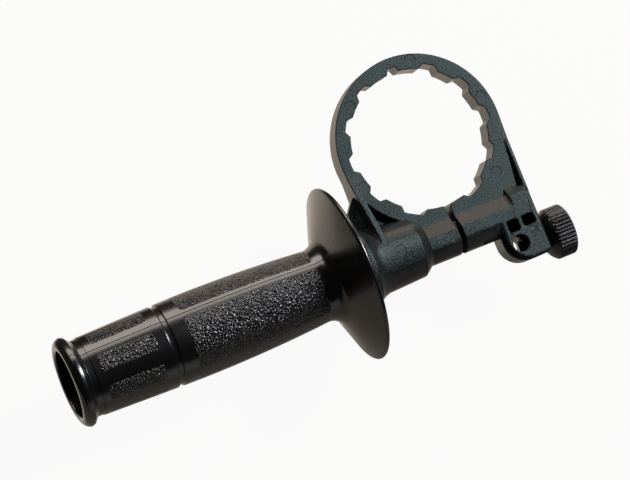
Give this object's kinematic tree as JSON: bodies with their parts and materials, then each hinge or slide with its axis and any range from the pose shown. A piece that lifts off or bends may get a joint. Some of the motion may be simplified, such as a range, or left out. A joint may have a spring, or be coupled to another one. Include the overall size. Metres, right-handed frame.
{
  "type": "power tool side handle",
  "caption": "Side handle for a hammer drill: hollow grip with a dished hand guard, a split neck collar with a notched bore, and a depth rod block with a knurled thumb screw.",
  "frame": {"origin": "centre of the clamp bore, halfway through the ring's thickness", "axes": "+Z along the clamp bore, +X along the grip from its open end to the thumb screw, +Y from the grip's axis toward the ring"},
  "size_m": [0.211, 0.1093, 0.0716],
  "materials": {
    "collar_nylon": "glass filled nylon, matt moulded",
    "grip_plastic": "semi-gloss moulded, grained panels",
    "knob_plastic": "semi-matt moulded",
    "zinc_steel": "zinc plated",
    "insert_brass": "machined"
  },
  "bodies": {
    "collar": {"collar": "collar_nylon", "nut_insert": "zinc_steel", "rod_insert": "insert_brass"},
    "washer": {"thrust_washer": "zinc_steel"},
    "grip": {"grip": "grip_plastic", "clamp_screw": "zinc_steel"},
    "stud": {"thumb_stud": "zinc_steel"},
    "knob": {"thumb_knob": "knob_plastic"}
  },
  "joints": [
    {"name": "washer_slide", "type": "slide", "parent": "collar", "child": "washer", "axis": [-1, 0, 0], "range_m": [0, 0.00625]},
    {"name": "grip_turn", "type": "hinge", "parent": "washer", "child": "grip", "pos_m": [-0.05, -0.039, 0], "axis": [-1, 0, 0], "range_deg": [0, 1800]},
    {"name": "stud_slide", "type": "slide", "parent": "collar", "child": "stud", "axis": [1, 0, 0], "range_m": [-0.0008, 0.0032]},
    {"name": "knob_turn", "type": "hinge", "parent": "stud", "child": "knob", "pos_m": [0.04, -0.0544, 0], "axis": [1, 0, 0], "range_deg": [-360, 1440]}
  ],
  "couplings": [
    {"joint": "washer_slide", "follows": "grip_turn", "m_per_rad": 0.00019894},
    {"joint": "stud_slide", "follows": "knob_turn", "m_per_rad": 0.00012732}
  ]
}
